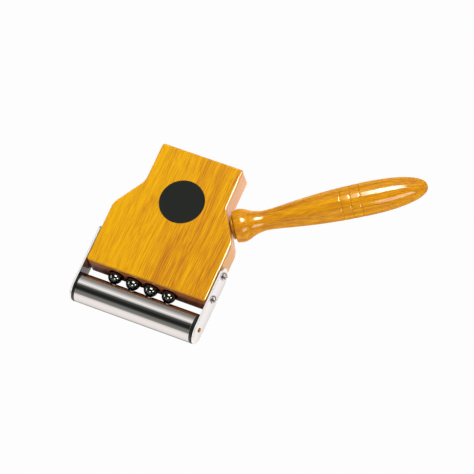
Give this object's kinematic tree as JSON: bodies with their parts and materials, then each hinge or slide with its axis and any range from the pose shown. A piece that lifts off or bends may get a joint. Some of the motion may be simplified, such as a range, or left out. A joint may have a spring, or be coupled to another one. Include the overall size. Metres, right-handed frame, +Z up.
{
  "type": "cricket clicker",
  "caption": "Hand percussion clicker: bottle-shaped wood block with loose steel balls in its front bores, a chrome roller on side arms and a turned handle on its shoulder.",
  "frame": {"origin": "middle of the object's plan box, on the surface that it lies on", "axes": "+X along the block's front face towards the handle, +Y from the roller towards the block's back end, +Z up through the block's thickness"},
  "size_m": [0.2228, 0.1824, 0.0256],
  "materials": {
    "lacquered_wood": "clear gloss lacquer over amber-stained hardwood",
    "bright_steel": "bright, lightly brushed",
    "chrome_plate": "polished",
    "ball_steel": "polished",
    "black_plastic": "satin",
    "brass": "peened end"
  },
  "bodies": {
    "block": {"wood_block": "lacquered_wood", "turned_handle": "lacquered_wood", "handle_dowel_screw": "bright_steel", "left_arm": "bright_steel", "right_arm": "bright_steel", "left_front_screw": "bright_steel", "left_rear_screw": "bright_steel", "right_front_screw": "bright_steel", "right_rear_screw": "bright_steel", "left_washer": "bright_steel", "right_washer": "bright_steel", "roller_axle": "brass"},
    "roller": {"roller_tube": "chrome_plate", "left_end_cap": "black_plastic", "right_end_cap": "black_plastic"},
    "ball_1": {"steel_ball_1": "ball_steel"},
    "ball_2": {"steel_ball_2": "ball_steel"},
    "ball_3": {"steel_ball_3": "ball_steel"},
    "ball_4": {"steel_ball_4": "ball_steel"}
  },
  "joints": [
    {"name": "roller_spin", "type": "hinge", "parent": "block", "child": "roller", "pos_m": [-0.05704, -0.07978, 0.0128], "axis": [1, 0, 0], "continuous": true},
    {"name": "ball_1_slide", "type": "slide", "parent": "block", "child": "ball_1", "axis": [0, 1, 0], "range_m": [0, 0.0114]},
    {"name": "ball_2_slide", "type": "slide", "parent": "block", "child": "ball_2", "axis": [0, 1, 0], "range_m": [0, 0.0114]},
    {"name": "ball_3_slide", "type": "slide", "parent": "block", "child": "ball_3", "axis": [0, 1, 0], "range_m": [0, 0.0114]},
    {"name": "ball_4_slide", "type": "slide", "parent": "block", "child": "ball_4", "axis": [0, 1, 0], "range_m": [0, 0.0114]}
  ]
}
